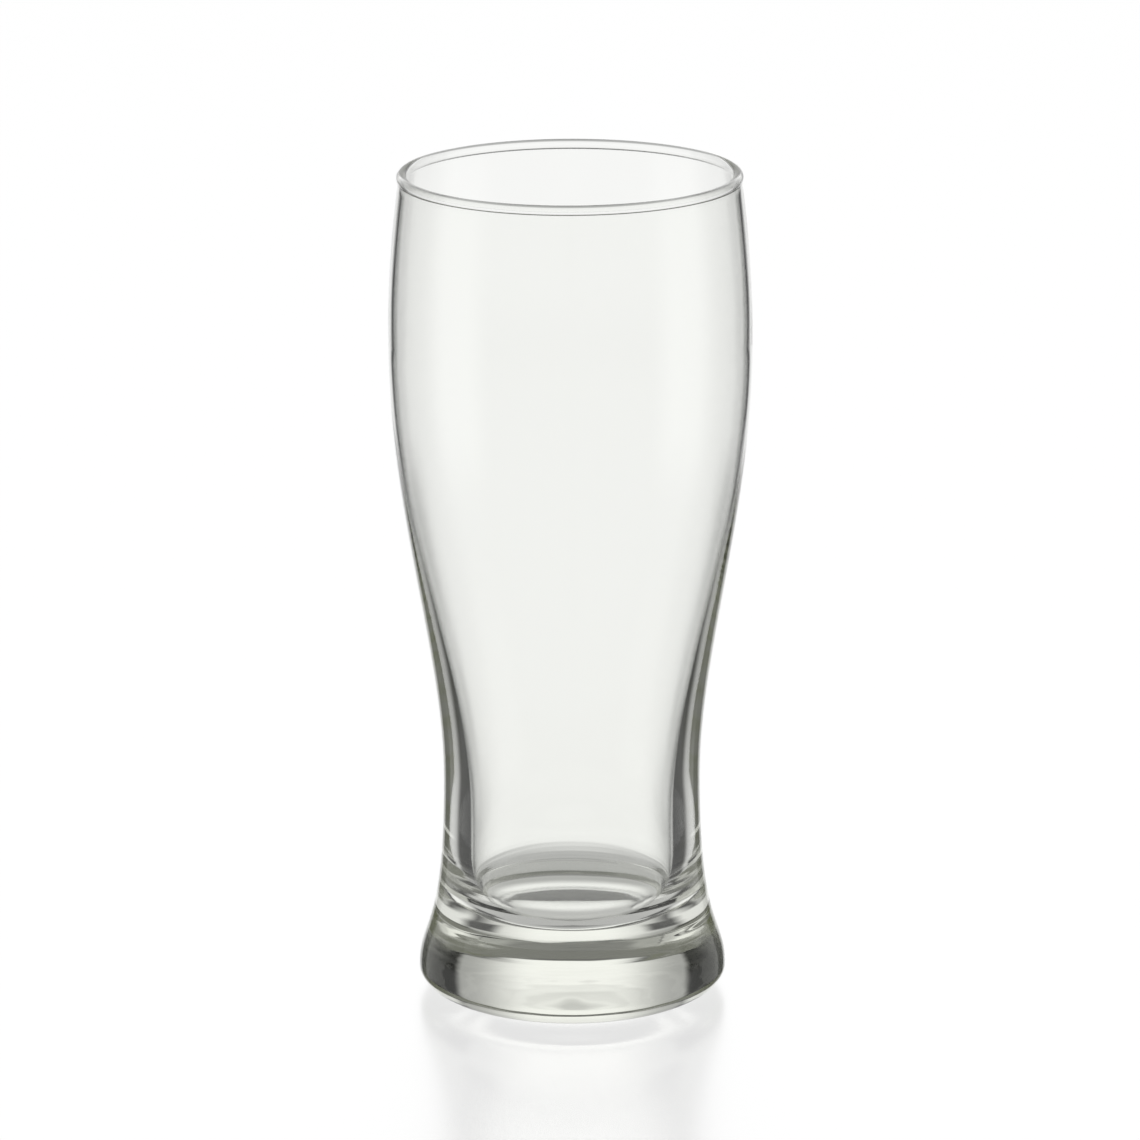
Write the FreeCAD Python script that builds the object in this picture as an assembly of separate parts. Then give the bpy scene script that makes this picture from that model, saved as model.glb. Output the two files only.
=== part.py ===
"""Tulip pint glass: one piece of clear glass, turned about the Z axis.

Units are millimetres.  The origin is the centre of the circle the glass stands on,
+Z points up out of the mouth, and the glass is the same all the way round.
"""

import FreeCAD, Part
import math
import os

# ---------------------------------------------------------------- driving dimensions
HEIGHT = 188.0              # table to the top of the rim

RIM_DIAMETER = 76.4         # outside of the rolled rim bead
BEAD_THICKNESS = 2.3        # the fire-polished bead is a round ring of this section
BEAD_STEP = 0.3             # how far the bead stands out from the wall under it

BELLY_DIAMETER = 80.7       # widest part of the bowl
BELLY_DROP = 39.0           # rim top down to the widest part
BOWL_WALL = 1.15            # wall from the rim down to the belly

WAIST_DIAMETER = 57.7       # narrowest part, above the foot
WAIST_HEIGHT = 50.0         # table up to the narrowest part
WAIST_WALL = 5.1            # wall at that height

FOOT_DIAMETER = 69.3        # widest part of the foot
FOOT_EDGE_HEIGHT = 5.5      # table up to the widest part of the foot
STANDING_DIAMETER = 52.2    # outer edge of the flat ring that touches the table
STANDING_RING_WIDTH = 3.2   # radial width of that ring
PUNT_DEPTH = 1.6            # the underside is hollowed by this much at its centre

WELL_WALL = 5.65            # waist radius less the narrowest inside radius
WELL_DEPTH = 17.0           # narrowest inside radius down to the inner floor
FLOOR_THICKNESS = 17.6      # table up to the middle of the inner floor

# Wall between belly and waist: thickness given to the two handles of its curve.
UPPER_TAPER_WALL = 0.3
LOWER_TAPER_WALL = 2.7

# How far each curve follows its end direction before it bends away, as a share of
# the height (or, for the floor, of the radius) between the two ends of the curve.
SKIRT_FULLNESS = (0.21, 0.83)      # foot edge going up, waist going down
TAPER_FULLNESS = (0.29, 0.38)      # waist going up, belly going down
SHOULDER_FULLNESS = (0.18, 0.50)   # belly going up, rim going down
WELL_FULLNESS = (0.33, 0.33)       # narrowest inside radius going up, waist going down
FLOOR_FULLNESS = 0.94              # inner floor and well wall, towards their corner
HEEL_FULLNESS = 0.55               # both ends of the rounded heel
NECK_LEAN = 0.13                   # sideways run per unit of height, just under the bead

# ---------------------------------------------------------------- places worked out
bead_radius = BEAD_THICKNESS / 2
bead_centre_r = RIM_DIAMETER / 2 - bead_radius
bead_centre_z = HEIGHT - bead_radius
neck_outer_r = RIM_DIAMETER / 2 - BEAD_STEP
neck_inner_r = neck_outer_r - BOWL_WALL

belly_r = BELLY_DIAMETER / 2
belly_z = HEIGHT - BELLY_DROP
waist_r = WAIST_DIAMETER / 2
foot_r = FOOT_DIAMETER / 2
standing_r = STANDING_DIAMETER / 2
ring_inner_r = standing_r - STANDING_RING_WIDTH
well_r = waist_r - WELL_WALL
well_z = FLOOR_THICKNESS + WELL_DEPTH


def at(radius, height):
    """A point of the half section, in the XZ plane."""
    return FreeCAD.Vector(radius, 0, height)


def bead_underside(radius):
    """The point of the bead's underside at a distance from the axis."""
    drop = math.sqrt(bead_radius ** 2 - (radius - bead_centre_r) ** 2)
    return at(radius, bead_centre_z - drop)


def smooth_edge(poles):
    """One smooth edge that leaves and arrives along its first and last pole pairs."""
    bezier = Part.BezierCurve()
    bezier.setPoles(poles)
    return bezier.toShape()


def wall_poles(low, high, fullness, low_lean=0.0, high_lean=0.0):
    """Poles of a wall curve; a lean is its sideways run per unit of height."""
    reach_up = fullness[0] * (high.z - low.z)
    reach_down = fullness[1] * (high.z - low.z)
    return [
        low,
        at(low.x + low_lean * reach_up, low.z + reach_up),
        at(high.x - high_lean * reach_down, high.z - reach_down),
        high,
    ]


def outer_taper_poles():
    """Outside of the long taper, from the waist up to the belly."""
    return wall_poles(at(waist_r, WAIST_HEIGHT), at(belly_r, belly_z), TAPER_FULLNESS)


def inner_taper_poles():
    """Inside of the taper: the outer curve moved in by the wall at each pole."""
    walls = (WAIST_WALL, LOWER_TAPER_WALL, UPPER_TAPER_WALL, BOWL_WALL)
    return [at(pole.x - wall, pole.z) for pole, wall in zip(outer_taper_poles(), walls)]


def outer_wall():
    """Skirt, taper and shoulder, from the foot edge up to the bead."""
    skirt = wall_poles(at(foot_r, FOOT_EDGE_HEIGHT), at(waist_r, WAIST_HEIGHT), SKIRT_FULLNESS)
    shoulder = wall_poles(at(belly_r, belly_z), bead_underside(neck_outer_r),
                          SHOULDER_FULLNESS, high_lean=-NECK_LEAN)
    return [smooth_edge(poles) for poles in (skirt, outer_taper_poles(), shoulder)]


def rim_bead():
    """Round bead, from the outside of the wall over the top to its inside."""
    return Part.Arc(bead_underside(neck_outer_r), at(bead_centre_r, HEIGHT),
                    bead_underside(neck_inner_r)).toShape()


def inner_wall():
    """Shoulder, taper and well on the inside, down to the middle of the floor."""
    taper = inner_taper_poles()
    shoulder = wall_poles(taper[3], bead_underside(neck_inner_r),
                          SHOULDER_FULLNESS, high_lean=-NECK_LEAN)
    waist_lean = (taper[1].x - taper[0].x) / (taper[1].z - taper[0].z)
    well = wall_poles(at(well_r, well_z), taper[0], WELL_FULLNESS, high_lean=waist_lean)
    floor = [
        at(0, FLOOR_THICKNESS),
        at(FLOOR_FULLNESS * well_r, FLOOR_THICKNESS),
        at(well_r, well_z - FLOOR_FULLNESS * WELL_DEPTH),
        at(well_r, well_z),
    ]
    return [smooth_edge(poles) for poles in (shoulder, taper, well, floor)]


def underside():
    """Hollow under the glass, flat standing ring and rounded heel, going outwards."""
    dome_radius = (ring_inner_r ** 2 + PUNT_DEPTH ** 2) / (2 * PUNT_DEPTH)
    half_angle = math.asin(ring_inner_r / dome_radius) / 2
    dome_middle = at(dome_radius * math.sin(half_angle),
                     PUNT_DEPTH - dome_radius * (1 - math.cos(half_angle)))
    heel_run = HEEL_FULLNESS * (foot_r - standing_r)
    heel_rise = HEEL_FULLNESS * FOOT_EDGE_HEIGHT
    heel = [
        at(standing_r, 0),
        at(standing_r + heel_run, 0),
        at(foot_r, FOOT_EDGE_HEIGHT - heel_rise),
        at(foot_r, FOOT_EDGE_HEIGHT),
    ]
    return [
        Part.Arc(at(0, PUNT_DEPTH), dome_middle, at(ring_inner_r, 0)).toShape(),
        Part.makeLine(at(ring_inner_r, 0), at(standing_r, 0)),
        smooth_edge(heel),
    ]


def turned(edges):
    """The solid that a closed half section makes when it turns once about the axis."""
    section = Part.Face(Part.Wire(Part.__sortEdges__(edges)))
    return section.revolve(FreeCAD.Vector(0, 0, 0), FreeCAD.Vector(0, 0, 1), 360)


def glass_body():
    """The whole glass."""
    through_floor = Part.makeLine(at(0, PUNT_DEPTH), at(0, FLOOR_THICKNESS))
    return turned(underside() + outer_wall() + [rim_bead()] + inner_wall() + [through_floor])


def brimful_drink():
    """What the glass holds when it is full to the top of the bead."""
    bead_side = Part.Arc(at(bead_centre_r, HEIGHT),
                         at(bead_centre_r - bead_radius, bead_centre_z),
                         bead_underside(neck_inner_r)).toShape()
    surface = Part.makeLine(at(0, HEIGHT), at(bead_centre_r, HEIGHT))
    middle = Part.makeLine(at(0, FLOOR_THICKNESS), at(0, HEIGHT))
    return turned([surface, bead_side, middle] + inner_wall())


def main():
    os.makedirs("parts", exist_ok=True)
    body = glass_body()
    body.exportStep("parts/glass_body.step")
    print("glass, ml:", round(body.Volume / 1000, 1))
    print("brimful drink, ml:", round(brimful_drink().Volume / 1000, 1))


main()
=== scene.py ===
"""Looks of a clear pint glass, laid out as a Blender add-on and run as a script.

Lengths are metres.  The glass stands upright on the floor at the origin, as its CAD
frame does, and is turned about the Z axis.
"""

import math
from typing import NamedTuple

import bpy
from bpy.props import FloatProperty, FloatVectorProperty, PointerProperty
from mathutils import Matrix, Vector


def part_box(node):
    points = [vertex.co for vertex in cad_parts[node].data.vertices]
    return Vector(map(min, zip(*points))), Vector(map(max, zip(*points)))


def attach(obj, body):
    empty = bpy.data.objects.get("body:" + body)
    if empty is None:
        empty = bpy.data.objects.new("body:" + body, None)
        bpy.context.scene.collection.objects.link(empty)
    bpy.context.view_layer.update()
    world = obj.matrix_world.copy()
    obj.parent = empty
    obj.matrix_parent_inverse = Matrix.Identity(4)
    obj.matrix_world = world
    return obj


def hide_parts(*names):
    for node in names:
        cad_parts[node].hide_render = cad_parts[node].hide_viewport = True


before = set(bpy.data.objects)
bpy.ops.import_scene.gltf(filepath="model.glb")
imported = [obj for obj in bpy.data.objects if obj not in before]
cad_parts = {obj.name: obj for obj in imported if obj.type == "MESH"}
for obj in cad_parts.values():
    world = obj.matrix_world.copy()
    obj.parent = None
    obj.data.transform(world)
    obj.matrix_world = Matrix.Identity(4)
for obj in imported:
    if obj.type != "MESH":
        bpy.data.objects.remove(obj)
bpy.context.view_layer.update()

bl_info = {
    "name": "Pint Glass",
    "version": (1, 0, 0),
    "blender": (4, 5, 0),
    "location": "3D View > Sidebar > Pint Glass",
    "description": "Builds a clear pint glass and the studio that it stands in",
    "category": "Object",
}

MM = 0.001
glass_low, glass_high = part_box("glass_body")

# How far each curve follows its end direction before it bends away, as a share of
# the height (or, for the inner floor, of the radius) between its two ends.
SKIRT_FULLNESS = (0.21, 0.83)      # foot edge going up, waist going down
TAPER_FULLNESS = (0.29, 0.38)      # waist going up, belly going down
SHOULDER_FULLNESS = (0.18, 0.50)   # belly going up, rim going down
WELL_FULLNESS = (0.33, 0.33)       # narrowest inside radius going up, waist going down
FLOOR_FULLNESS = 0.94              # inner floor and well wall, towards their corner
HEEL_FULLNESS = 0.55               # both ends of the rounded heel
NECK_LEAN = 0.13                   # sideways run per unit of height, just under the bead

TURN_STEPS = 256                   # faces round the glass
BEAD_ARCS = 4                      # curves that make up the bead's section
MERGE_DISTANCE = 0.001 * MM
SWELL_SIZE = 26 * MM               # of the unevenness in the walls

# Heights between which the surface relief comes in and goes out, going up the glass.
LINES_START = (8 * MM, 14 * MM)
LINES_END = (20 * MM, 34 * MM)
LUMPS_START = (0.5 * MM, 3 * MM)
LUMPS_END = (12 * MM, 22 * MM)
WEAR_END = (0.15 * MM, 0.5 * MM)
OUTSIDE_RADIUS = (25 * MM, 26 * MM)   # the foot's outside is wider than this, its inside isn't

# Features per metre along each axis.
LINES_STRETCH = (12, 12, 460)
LUMPS_STRETCH = (95, 95, 150)
SWIRL_STRETCH = (70, 70, 22)
SCUFFS_STRETCH = (2200, 2200, 2200)

BACKDROP_EDGE = (31, 41)           # degrees from straight behind, where the sweep takes over
SWEEP_FADE = 6                     # degrees over which the sweep fades out
STRAY_BOUNCES = (6, 9)             # after which light has lost its way in the walls
REFLECTION_BOUNCES = 96            # light can run a long way inside the walls
THROUGH_BOUNCES = 24
CAMERA_SHIFT = -0.001


class Relief(NamedTuple):
    """Fine relief in the surface: its noise, its depth and where it is, from 0 to 1."""

    label: str
    stretch: tuple
    detail: float
    depth: float
    share: object


class Run(NamedTuple):
    """One smooth stretch of the half section: its four poles and its number of faces."""

    poles: list
    faces: int


class Panel(NamedTuple):
    """A soft light or a dark flag round the glass, as the glass sees it, in degrees.

    The bearing is from straight behind the glass, and there is one on each side.
    """

    name: str
    bearing: float
    elevation: float
    half_width: float
    half_height: float
    soft_width: float
    soft_height: float
    glow: float


PANELS = (
    Panel("sky", 0, 50, 40, 14, 20, 8, 0.12),
    Panel("ceiling", 0, 82, 180, 15, 1, 12, 0.08),
    Panel("dark_room", 160, 46, 22, 16, 21, 18, 0.20),
    Panel("front_fill", 150, 8, 20, 10, 25, 10, 0.68),
    Panel("side_light", 100, -10, 8, 8, 22, 12, 0.90),
    Panel("backdrop", 0, -4, 7, 23, 26, 14, 0.97),
    Panel("edge_flag", 30, -12, 5, 6, 6, 6, 0.06),
    Panel("low_flag", 46, -29, 10, 6, 12, 6, 0.05),
    Panel("high_shade", 38, 19, 0, 12, 28, 10, 0.34),
    Panel("high_flag", 60, 19, 23, 12, 5, 10, 0.01),
    Panel("under", 0, -83, 30, 13, 14, 20, 0.25),
)


def length(name, description, value):
    """A length that the user can change."""
    return FloatProperty(name=name, description=description, default=value,
                         min=0.0, subtype="DISTANCE", unit="LENGTH")


class GlassSizes(bpy.types.PropertyGroup):
    """Sizes of the glass."""

    height: length("Height", "Table to the top of the rim", glass_high.z)
    rim_diameter: length("Rim diameter", "Outside of the rolled rim bead", 76.4 * MM)
    bead_thickness: length("Bead thickness", "Section of the round rim bead", 2.3 * MM)
    bead_step: length("Bead step", "How far the bead stands out from the wall", 0.3 * MM)
    bead_fillet: length("Bead fillet", "Rounding where the bead meets the wall", 0.25 * MM)
    belly_diameter: length("Belly diameter", "Widest part of the bowl",
                           glass_high.x - glass_low.x)
    belly_drop: length("Belly drop", "Rim top down to the widest part", 39.0 * MM)
    bowl_wall: length("Bowl wall", "Wall from the rim to the belly", 1.15 * MM)
    waist_diameter: length("Waist diameter", "Narrowest part", 57.7 * MM)
    waist_height: length("Waist height", "Table up to the narrowest part", 50.0 * MM)
    waist_wall: length("Waist wall", "Wall at the narrowest part", 5.1 * MM)
    foot_diameter: length("Foot diameter", "Widest part of the foot", 69.3 * MM)
    foot_edge_height: length("Foot edge height", "Table up to the foot's edge", 5.5 * MM)
    standing_diameter: length("Standing diameter", "Outer edge of the standing ring",
                              52.2 * MM)
    standing_ring_width: length("Standing ring width", "Radial width of that ring", 3.2 * MM)
    punt_depth: length("Punt depth", "Hollow of the underside at its centre", 1.6 * MM)
    well_wall: length("Well wall", "Waist radius less the narrowest inside", 5.65 * MM)
    well_depth: length("Well depth", "Narrowest inside down to the floor", 17.0 * MM)
    floor_thickness: length("Floor thickness", "Table up to the inner floor", 17.6 * MM)
    upper_taper_wall: length("Upper taper wall", "Wall at the taper's upper handle",
                             0.3 * MM)
    lower_taper_wall: length("Lower taper wall", "Wall at the taper's lower handle",
                             2.7 * MM)
    waviness: length("Waviness", "Unevenness that forming leaves in the surface", 0.04 * MM)


class GlassFinish(bpy.types.PropertyGroup):
    """Colour and surface of the glass."""

    tint: FloatVectorProperty(
        name="Tint", description="What a pane of the glass lets through", size=3,
        default=(0.995, 1.0, 0.985), min=0.0, max=1.0, subtype="COLOR")
    body_tint: FloatVectorProperty(
        name="Body tint", description="Colour that thick glass takes on", size=3,
        default=(0.94, 0.955, 0.85), min=0.0, max=1.0, subtype="COLOR")
    body_density: FloatProperty(
        name="Body density", description="How fast thick glass takes on its colour",
        default=9.0, min=0.0)
    refraction: FloatProperty(
        name="Refraction", description="Index of refraction", default=1.52, min=1.0)
    ripple: length("Ripple", "Depth of the fine lines drawn round the foot", 0.16 * MM)
    swirl: length("Swirl", "Depth of the slow swirl in the walls", 0.020 * MM)
    lumps: length("Lumps", "Depth of the soft lumps in the foot", 0.18 * MM)
    scuff: FloatProperty(
        name="Scuff", description="Roughness of the worn standing ring", default=0.18,
        min=0.0, max=1.0, subtype="FACTOR")


class StudioLook(bpy.types.PropertyGroup):
    """Floor, light and camera."""

    floor_size: length("Floor size", "Side of the square floor", 8.0)
    floor_glow: FloatProperty(
        name="Floor glow", description="How bright the lit floor is by itself",
        default=0.73, min=0.0)
    floor_mirror: FloatProperty(
        name="Floor mirror", description="Share of light that the floor mirrors",
        default=0.28, min=0.0, max=1.0, subtype="FACTOR")
    floor_blur: FloatProperty(
        name="Floor blur", description="Roughness of the floor's mirror image",
        default=0.24, min=0.0, max=1.0, subtype="FACTOR")
    ambient: FloatProperty(
        name="Ambient", description="Light from all round, between the panels",
        default=0.47, min=0.0)
    sweep_glow: FloatProperty(
        name="Sweep glow", description="The pale sweep that is seen straight through the glass",
        default=0.80, min=0.0)
    sweep_bottom: FloatProperty(
        name="Sweep bottom", description="Lower edge of the sweep, seen through one wall",
        default=math.radians(-26), subtype="ANGLE", unit="ROTATION")
    sweep_drop: FloatProperty(
        name="Sweep drop", description="How much lower it goes, seen through both walls",
        default=math.radians(12), subtype="ANGLE", unit="ROTATION")
    sweep_top: FloatProperty(
        name="Sweep top", description="Upper edge of the sweep", default=math.radians(4),
        subtype="ANGLE", unit="ROTATION")
    stray_glow: FloatProperty(
        name="Stray glow", description="Light that has bounced many times inside the walls",
        default=0.19, min=0.0)
    camera_distance: length("Camera distance", "From the glass's axis, level", 1.3962)
    camera_height: length("Camera height", "Above the floor", 0.4696)
    camera_pitch: FloatProperty(
        name="Camera pitch", description="How far the camera looks down",
        default=0.2606, subtype="ANGLE", unit="ROTATION")
    camera_roll: FloatProperty(
        name="Camera roll", description="Turn about the line of sight",
        default=-0.0032, subtype="ANGLE", unit="ROTATION")
    camera_lens: FloatProperty(
        name="Camera lens", description="Focal length in millimetres", default=204.18,
        min=1.0, subtype="DISTANCE_CAMERA")


# ---------------------------------------------------------------- shape of the glass
def at(radius, height):
    """A point of the half section, in the XZ plane."""
    return Vector((radius, 0.0, height))


def straight(start, end):
    """Poles of a straight run."""
    return [start, start.lerp(end, 1 / 3), start.lerp(end, 2 / 3), end]


def wall_poles(low, high, fullness, low_lean=0.0, high_lean=0.0):
    """Poles of a wall, going up; a lean is its sideways run per unit of height."""
    reach_up = fullness[0] * (high.z - low.z)
    reach_down = fullness[1] * (high.z - low.z)
    return [low, low + at(low_lean, 1) * reach_up, high - at(high_lean, 1) * reach_down, high]


def arc_poles(centre, radius, start, end):
    """Poles of an arc between two angles in the XZ plane."""
    handle = 4 / 3 * math.tan((end - start) / 4) * radius
    first = at(math.cos(start), math.sin(start))
    last = at(math.cos(end), math.sin(end))
    return [
        centre + radius * first,
        centre + radius * first + handle * at(-first.z, first.x),
        centre + radius * last - handle * at(-last.z, last.x),
        centre + radius * last,
    ]


def underside(sizes):
    """Hollow, flat standing ring and rounded heel, going outwards from the axis."""
    standing = at(sizes.standing_diameter / 2, 0)
    ring_inside = standing - at(sizes.standing_ring_width, 0)
    foot = at(sizes.foot_diameter / 2, sizes.foot_edge_height)
    dome_radius = (ring_inside.x ** 2 + sizes.punt_depth ** 2) / (2 * sizes.punt_depth)
    dome_centre = at(0, sizes.punt_depth - dome_radius)
    upright = math.pi / 2
    dome_edge = upright - math.asin(ring_inside.x / dome_radius)
    heel = [
        standing,
        standing + at(HEEL_FULLNESS * (foot.x - standing.x), 0),
        foot - at(0, HEEL_FULLNESS * foot.z),
        foot,
    ]
    return [
        Run(arc_poles(dome_centre, dome_radius, upright, dome_edge), 14),
        Run(straight(ring_inside, standing), 3),
        Run(heel, 20),
    ]


def neck_points(sizes):
    """Centre of the rim bead, and where the wall meets it outside and inside."""
    radius = sizes.bead_thickness / 2
    centre = at(sizes.rim_diameter / 2 - radius, sizes.height - radius)
    outside_x = sizes.rim_diameter / 2 - sizes.bead_step

    def underside_at(x):
        return at(x, centre.z - math.sqrt(radius ** 2 - (x - centre.x) ** 2))

    return centre, underside_at(outside_x), underside_at(outside_x - sizes.bowl_wall)


def half_section(sizes):
    """The whole half section, from the underside's middle round to the inner floor's."""
    belly = at(sizes.belly_diameter / 2, sizes.height - sizes.belly_drop)
    waist = at(sizes.waist_diameter / 2, sizes.waist_height)
    foot = at(sizes.foot_diameter / 2, sizes.foot_edge_height)
    well = at(waist.x - sizes.well_wall, sizes.floor_thickness + sizes.well_depth)
    bead_centre, neck_outside, neck_inside = neck_points(sizes)

    taper = wall_poles(waist, belly, TAPER_FULLNESS)
    walls = (sizes.waist_wall, sizes.lower_taper_wall, sizes.upper_taper_wall, sizes.bowl_wall)
    inner_taper = [pole - at(wall, 0) for pole, wall in zip(taper, walls)]
    waist_run = inner_taper[1] - inner_taper[0]
    inner_well = wall_poles(well, inner_taper[0], WELL_FULLNESS,
                            high_lean=waist_run.x / waist_run.z)
    inner_floor = [
        well,
        at(well.x, well.z - FLOOR_FULLNESS * sizes.well_depth),
        at(FLOOR_FULLNESS * well.x, sizes.floor_thickness),
        at(0, sizes.floor_thickness),
    ]

    outside = neck_outside - bead_centre
    inside = neck_inside - bead_centre
    start = math.atan2(outside.z, outside.x)
    sweep = math.atan2(inside.z, inside.x) % math.tau - start
    bead_radius = sizes.bead_thickness / 2
    bead = [
        Run(arc_poles(bead_centre, bead_radius, start + sweep * i / BEAD_ARCS,
                      start + sweep * (i + 1) / BEAD_ARCS), 9)
        for i in range(BEAD_ARCS)
    ]

    def shoulder(low, high):
        return wall_poles(low, high, SHOULDER_FULLNESS, high_lean=-NECK_LEAN)

    return underside(sizes) + [
        Run(wall_poles(foot, waist, SKIRT_FULLNESS), 42),
        Run(taper, 60),
        Run(shoulder(belly, neck_outside), 30),
        *bead,
        Run(shoulder(inner_taper[3], neck_inside)[::-1], 30),
        Run(inner_taper[::-1], 60),
        Run(inner_well[::-1], 16),
        Run(inner_floor, 50),
    ]


def deselect_all():
    """Leaves nothing selected or active."""
    bpy.ops.object.select_all(action="DESELECT")
    bpy.context.view_layer.objects.active = None


def draw_half_section(sizes):
    """Adds a curve, gives it the half section's runs and makes it a mesh of edges."""
    deselect_all()
    bpy.ops.curve.primitive_bezier_curve_add()
    outline = bpy.context.object
    outline.data.splines.clear()
    for run in half_section(sizes):
        spline = outline.data.splines.new("BEZIER")
        spline.resolution_u = run.faces
        spline.bezier_points.add(1)
        first, last = spline.bezier_points
        for point in (first, last):
            point.handle_left_type = "FREE"
            point.handle_right_type = "FREE"
        first.co = first.handle_left = run.poles[0]
        first.handle_right = run.poles[1]
        last.handle_left = run.poles[2]
        last.co = last.handle_right = run.poles[3]
    bpy.ops.object.convert(target="MESH")
    return bpy.context.object


def select_near(mesh_object, points):
    """Selects only the vertices at these points; the object is in edit mode after."""
    bpy.ops.object.mode_set(mode="OBJECT")
    for vertex in mesh_object.data.vertices:
        vertex.select = any((vertex.co - point).length < MERGE_DISTANCE for point in points)
    for edge in mesh_object.data.edges:
        edge.select = False
    bpy.ops.object.mode_set(mode="EDIT")


def turn_glass(sizes):
    """The glass: its half section joined up, filleted at the bead and turned."""
    glass = draw_half_section(sizes)
    bpy.ops.object.mode_set(mode="EDIT")
    bpy.ops.mesh.select_mode(type="VERT")
    bpy.ops.mesh.select_all(action="SELECT")
    bpy.ops.mesh.remove_doubles(threshold=MERGE_DISTANCE)
    select_near(glass, neck_points(sizes)[1:])
    bpy.ops.mesh.bevel(offset=sizes.bead_fillet, segments=4, affect="VERTICES")
    bpy.ops.mesh.select_all(action="SELECT")
    bpy.ops.mesh.spin(steps=TURN_STEPS, angle=math.tau, center=(0, 0, 0), axis=(0, 0, 1))
    bpy.ops.mesh.select_all(action="SELECT")
    bpy.ops.mesh.remove_doubles(threshold=MERGE_DISTANCE)
    bpy.ops.mesh.normals_make_consistent(inside=False)
    bpy.ops.object.mode_set(mode="OBJECT")
    bpy.ops.object.shade_smooth()
    return glass


def make_uneven(glass, depth):
    """Gives the walls the slight unevenness of hot glass, as real geometry."""
    swell = bpy.data.textures.new("glass_swell", "CLOUDS")
    swell.noise_scale = SWELL_SIZE
    swell.noise_depth = 1
    displace = glass.modifiers.new("uneven_walls", "DISPLACE")
    displace.texture = swell
    displace.texture_coords = "LOCAL"
    displace.mid_level = 0.5
    displace.strength = depth
    bpy.ops.object.modifier_apply(modifier=displace.name)


# ---------------------------------------------------------------- materials
def node(tree, kind, label, **settings):
    """A new labelled node with its settings."""
    made = tree.nodes.new(kind)
    made.label = label
    for key, value in settings.items():
        setattr(made, key, value)
    return made


def mapped(tree, value, low, high, label, to_low=0.0, to_high=1.0):
    """A socket that goes smoothly from one value to another between two inputs."""
    ramp = node(tree, "ShaderNodeMapRange", label, interpolation_type="SMOOTHSTEP")
    tree.links.new(value, ramp.inputs["Value"])
    ramp.inputs["From Min"].default_value = low
    ramp.inputs["From Max"].default_value = high
    ramp.inputs["To Min"].default_value = to_low
    ramp.inputs["To Max"].default_value = to_high
    return ramp.outputs["Result"]


def combined(tree, operation, first, second=None, label=""):
    """A socket for a sum, product or other operation on sockets or numbers."""
    made = node(tree, "ShaderNodeMath", label, operation=operation)
    for place, value in enumerate((first, second)):
        if isinstance(value, (int, float)):
            made.inputs[place].default_value = value
        elif value is not None:
            tree.links.new(value, made.inputs[place])
    return made.outputs["Value"]


def noise(tree, coordinates, label, stretch, detail):
    """Noise on object coordinates; stretch is features per metre along each axis."""
    mapping = node(tree, "ShaderNodeMapping", label)
    mapping.inputs["Scale"].default_value = stretch
    tree.links.new(coordinates, mapping.inputs["Vector"])
    made = node(tree, "ShaderNodeTexNoise", label)
    made.inputs["Scale"].default_value = 1.0
    made.inputs["Detail"].default_value = detail
    tree.links.new(mapping.outputs["Vector"], made.inputs["Vector"])
    return made.outputs["Fac"]


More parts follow.
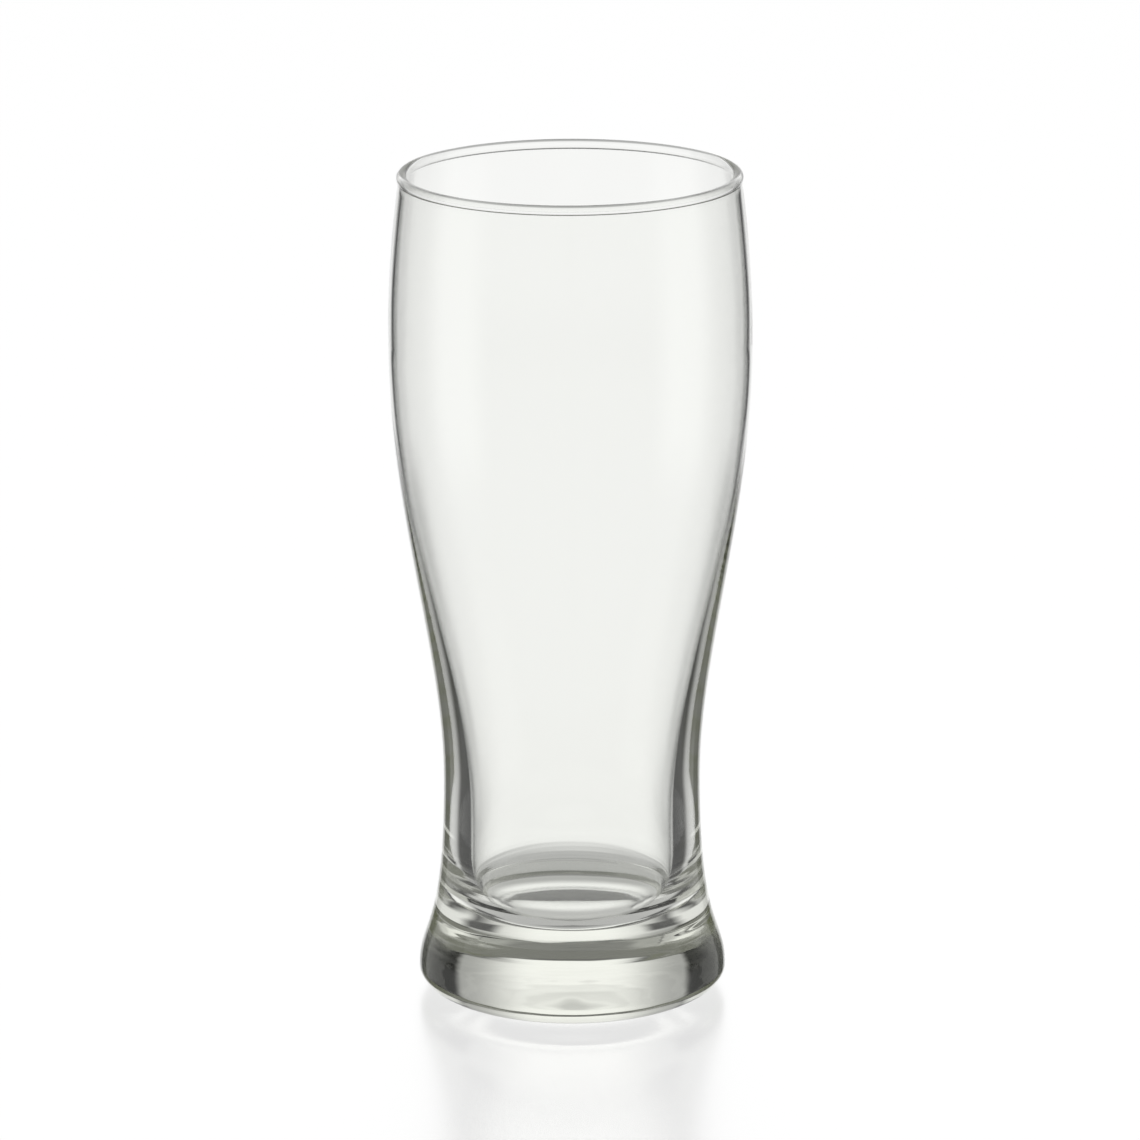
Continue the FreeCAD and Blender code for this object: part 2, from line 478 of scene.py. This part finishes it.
def clear_glass_material(finish):
    """Soda-lime glass: fine lines round the foot, swirl in the bowl, worn ring."""
    material = bpy.data.materials.new("clear_glass")
    material.use_nodes = True
    tree = material.node_tree
    shader = tree.nodes["Principled BSDF"]
    shader.inputs["Base Color"].default_value = (*finish.tint, 1)
    shader.inputs["IOR"].default_value = finish.refraction
    shader.inputs["Transmission Weight"].default_value = 1.0

    body = node(tree, "ShaderNodeVolumeAbsorption", "body colour")
    body.inputs["Color"].default_value = (*finish.body_tint, 1)
    body.inputs["Density"].default_value = finish.body_density
    tree.links.new(body.outputs["Volume"], tree.nodes["Material Output"].inputs["Volume"])

    place = node(tree, "ShaderNodeTexCoord", "place on the glass").outputs["Object"]
    axes = node(tree, "ShaderNodeSeparateXYZ", "height")
    tree.links.new(place, axes.inputs["Vector"])
    height = axes.outputs["Z"]

    flat = node(tree, "ShaderNodeVectorMath", "flattened", operation="MULTIPLY")
    flat.inputs[1].default_value = (1, 1, 0)
    tree.links.new(place, flat.inputs[0])
    radius = node(tree, "ShaderNodeVectorMath", "from the axis", operation="LENGTH")
    tree.links.new(flat.outputs["Vector"], radius.inputs[0])
    outside = mapped(tree, radius.outputs["Value"], *OUTSIDE_RADIUS, "outside of the foot")
    above_heel = mapped(tree, height, *LINES_START, "above the heel")
    below_waist = mapped(tree, height, *LINES_END, "below the waist", 1.0, 0.0)
    above_ring = mapped(tree, height, *LUMPS_START, "above the standing ring")
    low_in_foot = mapped(tree, height, *LUMPS_END, "low in the foot", 1.0, 0.0)
    on_skirt = combined(tree, "MULTIPLY", outside,
                        combined(tree, "MULTIPLY", above_heel, below_waist))
    in_foot = combined(tree, "MULTIPLY", above_ring, low_in_foot)
    reliefs = (
        Relief("lines drawn round the foot", LINES_STRETCH, 1.0, finish.ripple, on_skirt),
        Relief("soft lumps in the foot", LUMPS_STRETCH, 1.0, finish.lumps, in_foot),
        Relief("swirl in the walls", SWIRL_STRETCH, 1.0, finish.swirl, 1.0),
    )
    normal = None
    for relief in reliefs:
        pattern = noise(tree, place, relief.label, relief.stretch, relief.detail)
        centred = combined(tree, "SUBTRACT", pattern, 0.5)
        bump = node(tree, "ShaderNodeBump", relief.label)
        bump.inputs["Distance"].default_value = relief.depth
        tree.links.new(combined(tree, "MULTIPLY", centred, relief.share), bump.inputs["Height"])
        if normal:
            tree.links.new(normal, bump.inputs["Normal"])
        normal = bump.outputs["Normal"]
    tree.links.new(normal, shader.inputs["Normal"])

    near_table = mapped(tree, height, *WEAR_END, "touching the table", 1.0, 0.0)
    scratches = mapped(tree, noise(tree, place, "scuffs", SCUFFS_STRETCH, 3.0),
                       0.35, 0.65, "scuffed patches", 0.8, 1.0)
    wear = combined(tree, "MULTIPLY", near_table, scratches)
    tree.links.new(combined(tree, "MULTIPLY", wear, finish.scuff, "scuffing"),
                   shader.inputs["Roughness"])
    return material


def floor_material(look):
    """A pale lit floor with a soft mirror."""
    material = bpy.data.materials.new("pale_floor")
    material.use_nodes = True
    tree = material.node_tree
    tree.nodes.clear()
    glow = node(tree, "ShaderNodeEmission", "lit from below")
    glow.inputs["Strength"].default_value = look.floor_glow
    mirror = node(tree, "ShaderNodeBsdfGlossy", "polish")
    mirror.inputs["Color"].default_value = (*[look.floor_mirror] * 3, 1)
    mirror.inputs["Roughness"].default_value = look.floor_blur
    both = node(tree, "ShaderNodeAddShader", "floor")
    tree.links.new(glow.outputs["Emission"], both.inputs[0])
    tree.links.new(mirror.outputs["BSDF"], both.inputs[1])
    output = node(tree, "ShaderNodeOutputMaterial", "surface")
    tree.links.new(both.outputs["Shader"], output.inputs["Surface"])
    return material


# ---------------------------------------------------------------- stage
def add_floor(look):
    """A wide pale floor that the camera sees; the glass sees only the panels."""
    deselect_all()
    bpy.ops.mesh.primitive_plane_add(size=look.floor_size)
    floor = bpy.context.object
    floor.name = "floor"
    floor.data.materials.append(floor_material(look))
    floor.visible_transmission = False
    floor.visible_glossy = False


def light_studio(look):
    """Soft panels and dark flags all round, as a world."""
    world = bpy.data.worlds.new("studio")
    bpy.context.scene.world = world
    world.use_nodes = True
    tree = world.node_tree
    direction = node(tree, "ShaderNodeSeparateXYZ", "direction")
    tree.links.new(node(tree, "ShaderNodeTexCoord", "sky").outputs["Generated"],
                   direction.inputs["Vector"])
    across, along, up = direction.outputs
    bearing = combined(tree, "ABSOLUTE", combined(tree, "ARCTAN2", across, along), label="bearing")
    elevation = combined(tree, "ARCSINE", up, label="elevation")

    ambient = node(tree, "ShaderNodeValue", "ambient")
    ambient.outputs["Value"].default_value = look.ambient
    glow = ambient.outputs["Value"]
    for panel in PANELS:
        sideways = combined(tree, "ABSOLUTE", combined(
            tree, "SUBTRACT", bearing, math.radians(panel.bearing)))
        upwards = combined(tree, "ABSOLUTE", combined(
            tree, "SUBTRACT", elevation, math.radians(panel.elevation)))
        across_share = mapped(tree, sideways, math.radians(panel.half_width),
                              math.radians(panel.half_width + panel.soft_width),
                              panel.name, 1.0, 0.0)
        up_share = mapped(tree, upwards, math.radians(panel.half_height),
                          math.radians(panel.half_height + panel.soft_height),
                          panel.name, 1.0, 0.0)
        mix = node(tree, "ShaderNodeMix", panel.name)
        tree.links.new(combined(tree, "MULTIPLY", across_share, up_share),
                       mix.inputs["Factor"])
        tree.links.new(glow, mix.inputs["A"])
        mix.inputs["B"].default_value = panel.glow
        glow = mix.outputs["Result"]

    ray = node(tree, "ShaderNodeLightPath", "kind of ray")
    unturned = combined(tree, "LESS_THAN", ray.outputs["Glossy Depth"], 0.5, "not reflected")
    both_walls = combined(tree, "GREATER_THAN", ray.outputs["Transmission Depth"], 3.0,
                          "through both walls")
    raised = combined(tree, "ADD", elevation, combined(
        tree, "MULTIPLY", both_walls, look.sweep_drop))
    fade = math.radians(SWEEP_FADE)
    bottom = mapped(tree, raised, look.sweep_bottom - fade, look.sweep_bottom,
                    "bottom of the pale sweep")
    top = mapped(tree, elevation, look.sweep_top, look.sweep_top + fade,
                 "top of the pale sweep", 1.0, 0.0)
    beside = mapped(tree, bearing, *map(math.radians, BACKDROP_EDGE), "beside the backdrop",
                    0.0, look.sweep_glow)
    sweep = unturned
    for share in (bottom, top, beside):
        sweep = combined(tree, "MULTIPLY", sweep, share, "pale sweep round the sides")
    glow = combined(tree, "MAXIMUM", glow, sweep)
    strayed = node(tree, "ShaderNodeMix", "light that strayed in the walls")
    tree.links.new(mapped(tree, ray.outputs["Ray Depth"], *STRAY_BOUNCES, "many bounces"),
                   strayed.inputs["Factor"])
    tree.links.new(glow, strayed.inputs["A"])
    strayed.inputs["B"].default_value = look.stray_glow
    glow = strayed.outputs["Result"]
    sharp_or_through = combined(tree, "MAXIMUM", ray.outputs["Is Singular Ray"],
                                ray.outputs["Is Transmission Ray"])
    floor_mirror = combined(tree, "MULTIPLY", ray.outputs["Is Glossy Ray"],
                            combined(tree, "SUBTRACT", 1.0, sharp_or_through))
    plain = combined(tree, "MAXIMUM", ray.outputs["Is Camera Ray"], floor_mirror)
    seen = node(tree, "ShaderNodeMix", "white seen past the glass")
    tree.links.new(plain, seen.inputs["Factor"])
    tree.links.new(glow, seen.inputs["A"])
    seen.inputs["B"].default_value = 1.0
    tree.links.new(seen.outputs["Result"], tree.nodes["Background"].inputs["Strength"])
    tree.nodes["Background"].inputs["Color"].default_value = (1, 1, 1, 1)
    world.cycles.sampling_method = "NONE"


def add_camera(look):
    """The camera, looking down at the glass through a long lens."""
    camera = bpy.data.objects.new("camera", bpy.data.cameras.new("camera"))
    bpy.context.scene.collection.objects.link(camera)
    camera.data.lens = look.camera_lens
    camera.data.shift_x = CAMERA_SHIFT
    camera.matrix_world = (
        Matrix.Translation((0, -look.camera_distance, look.camera_height))
        @ Matrix.Rotation(math.pi / 2 - look.camera_pitch, 4, "X")
        @ Matrix.Rotation(look.camera_roll, 4, "Z")
    )
    bpy.context.scene.camera = camera


# ---------------------------------------------------------------- operators
class PINTGLASS_OT_glass(bpy.types.Operator):
    """Build the glass body, one piece of clear glass"""

    bl_idname = "pint_glass.glass"
    bl_label = "Glass Body"
    bl_options = {"REGISTER", "UNDO"}

    def execute(self, context):
        sizes = context.scene.pint_glass_sizes
        glass = turn_glass(sizes)
        glass.name = "pint_glass"
        make_uneven(glass, sizes.waviness)
        glass.data.materials.clear()
        glass.data.materials.append(
            clear_glass_material(context.scene.pint_glass_finish))
        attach(glass, "root")
        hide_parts("glass_body")
        return {"FINISHED"}


class PINTGLASS_OT_stage(bpy.types.Operator):
    """Build the floor, the light and the camera"""

    bl_idname = "pint_glass.stage"
    bl_label = "Stage"
    bl_options = {"REGISTER", "UNDO"}

    def execute(self, context):
        scene = context.scene
        look = scene.pint_glass_studio
        add_floor(look)
        light_studio(look)
        add_camera(look)
        scene.view_settings.view_transform = "Standard"
        scene.cycles.max_bounces = REFLECTION_BOUNCES
        scene.cycles.glossy_bounces = REFLECTION_BOUNCES
        scene.cycles.transmission_bounces = THROUGH_BOUNCES
        return {"FINISHED"}


class PINTGLASS_PT_panel(bpy.types.Panel):
    """Sizes, finish and studio of the pint glass"""

    bl_label = "Pint Glass"
    bl_idname = "PINTGLASS_PT_panel"
    bl_space_type = "VIEW_3D"
    bl_region_type = "UI"
    bl_category = "Pint Glass"

    def draw(self, context):
        layout = self.layout
        layout.use_property_split = True
        for group in (context.scene.pint_glass_sizes, context.scene.pint_glass_finish,
                      context.scene.pint_glass_studio):
            box = layout.box()
            for name in group.__annotations__:
                box.prop(group, name)
        layout.operator(PINTGLASS_OT_glass.bl_idname)
        layout.operator(PINTGLASS_OT_stage.bl_idname)


CLASSES = (GlassSizes, GlassFinish, StudioLook, PINTGLASS_OT_glass, PINTGLASS_OT_stage,
           PINTGLASS_PT_panel)


def register():
    for cls in CLASSES:
        bpy.utils.register_class(cls)
    bpy.types.Scene.pint_glass_sizes = PointerProperty(type=GlassSizes)
    bpy.types.Scene.pint_glass_finish = PointerProperty(type=GlassFinish)
    bpy.types.Scene.pint_glass_studio = PointerProperty(type=StudioLook)


def unregister():
    del bpy.types.Scene.pint_glass_studio
    del bpy.types.Scene.pint_glass_finish
    del bpy.types.Scene.pint_glass_sizes
    for cls in reversed(CLASSES):
        bpy.utils.unregister_class(cls)


def main():
    register()
    bpy.ops.pint_glass.glass()
    bpy.ops.pint_glass.stage()


if __name__ == "__main__":
    main()
